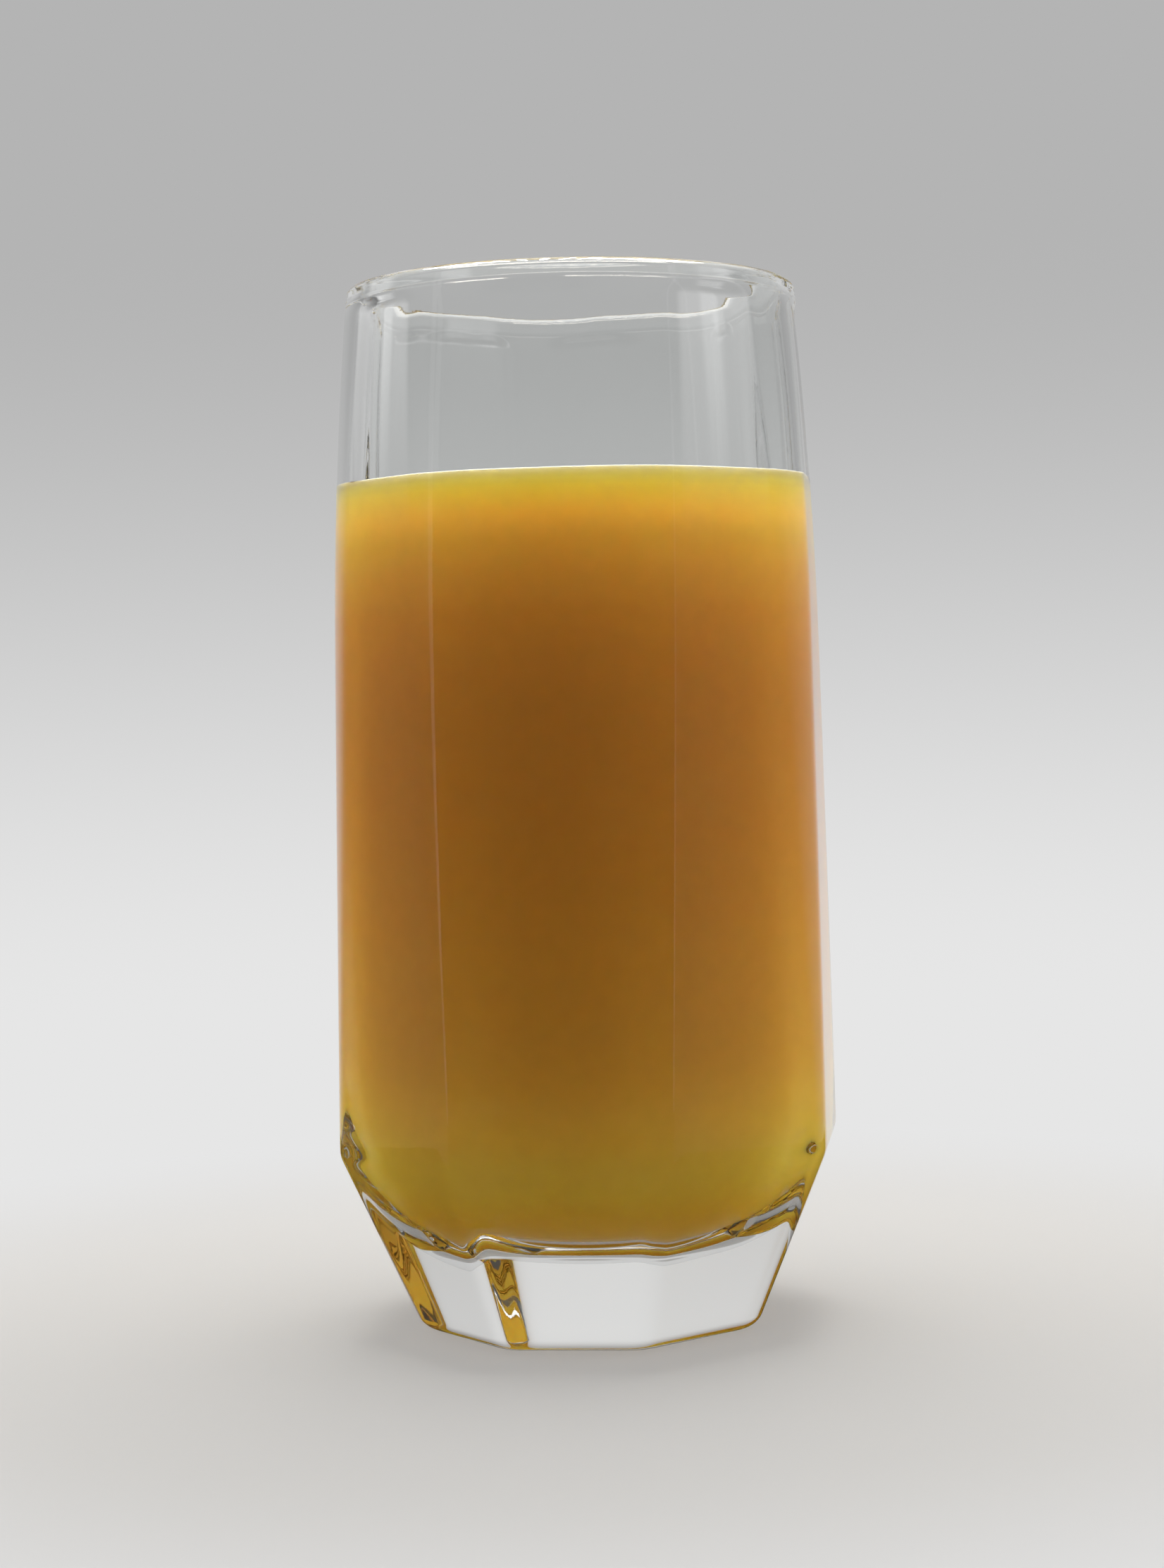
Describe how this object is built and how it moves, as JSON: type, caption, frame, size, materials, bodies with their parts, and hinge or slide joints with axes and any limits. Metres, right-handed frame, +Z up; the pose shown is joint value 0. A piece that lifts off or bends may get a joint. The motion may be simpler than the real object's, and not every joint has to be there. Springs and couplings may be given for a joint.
{
  "type": "glass of mango juice",
  "caption": "Clear pressed-glass highball tumbler with flat panels, a bevelled foot and a thick base, filled most of the way with opaque mango juice.",
  "frame": {"origin": "middle of the underside of the glass, on the surface it stands on", "axes": "+Z up along the glass; one flat panel faces -Y"},
  "size_m": [0.0662, 0.0662, 0.142],
  "materials": {
    "glass": "polished",
    "juice": "opaque liquid"
  },
  "bodies": {
    "root": {"glass": "glass", "juice": "juice"}
  },
  "joints": []
}
